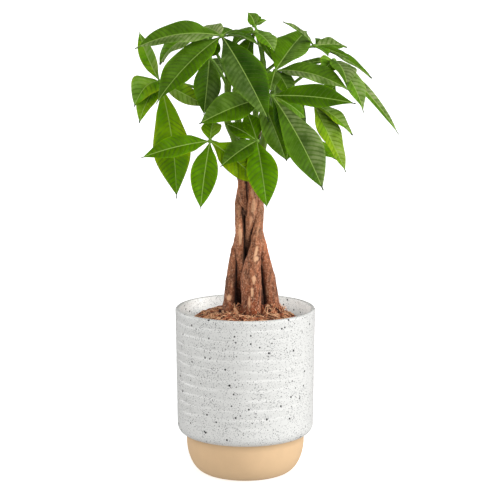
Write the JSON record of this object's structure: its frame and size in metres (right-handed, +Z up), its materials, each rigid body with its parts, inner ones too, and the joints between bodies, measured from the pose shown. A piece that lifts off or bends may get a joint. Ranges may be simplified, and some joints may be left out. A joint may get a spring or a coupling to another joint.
{
  "type": "potted money tree",
  "caption": "Small braided-trunk money tree with palmate leaves, planted in a grow pot that stands inside a ribbed, speckled ceramic planter.",
  "frame": {"origin": "centre of the planter's flat bottom, on the surface that it stands on", "axes": "+Z up along the planter's axis; the front of the plant, which the picture shows, faces -Y"},
  "size_m": [0.233, 0.2249, 0.4103],
  "materials": {
    "planter_ceramic": "white matte glaze with fine dark specks above a bare tan foot",
    "pot_plastic": "thin black moulded plastic",
    "soil": "damp potting mix",
    "coir": "shredded coconut fibre",
    "bark": "rough reddish brown bark with tan scars",
    "green_stem": "smooth green young stem",
    "leaf": "glossy green leaf with pale veins"
  },
  "bodies": {
    "root": {"planter": "planter_ceramic", "grow_pot": "pot_plastic", "potting_soil": "soil", "coir_mulch": "coir", "trunk_front": "bark", "trunk_inner_left": "bark", "trunk_left": "bark", "trunk_right": "bark", "trunk_centre": "bark", "shoot_right": "green_stem", "shoot_left": "green_stem", "shoot_back_right": "green_stem", "shoot_back_left": "green_stem", "shoot_front": "green_stem", "leaf_top_left": "leaf", "leaf_upper_left": "leaf", "leaf_inner_left": "leaf", "leaf_left": "leaf", "leaf_low_left": "leaf", "leaf_crown": "leaf", "leaf_young": "leaf", "leaf_upper_right": "leaf", "leaf_centre_right": "leaf", "leaf_right": "leaf", "leaf_front_right": "leaf", "leaf_centre": "leaf", "leaf_low_front": "leaf", "leaf_low_right": "leaf", "leaf_inner_right": "leaf", "leaf_back_right": "leaf", "leaf_back": "leaf"}
  },
  "joints": []
}
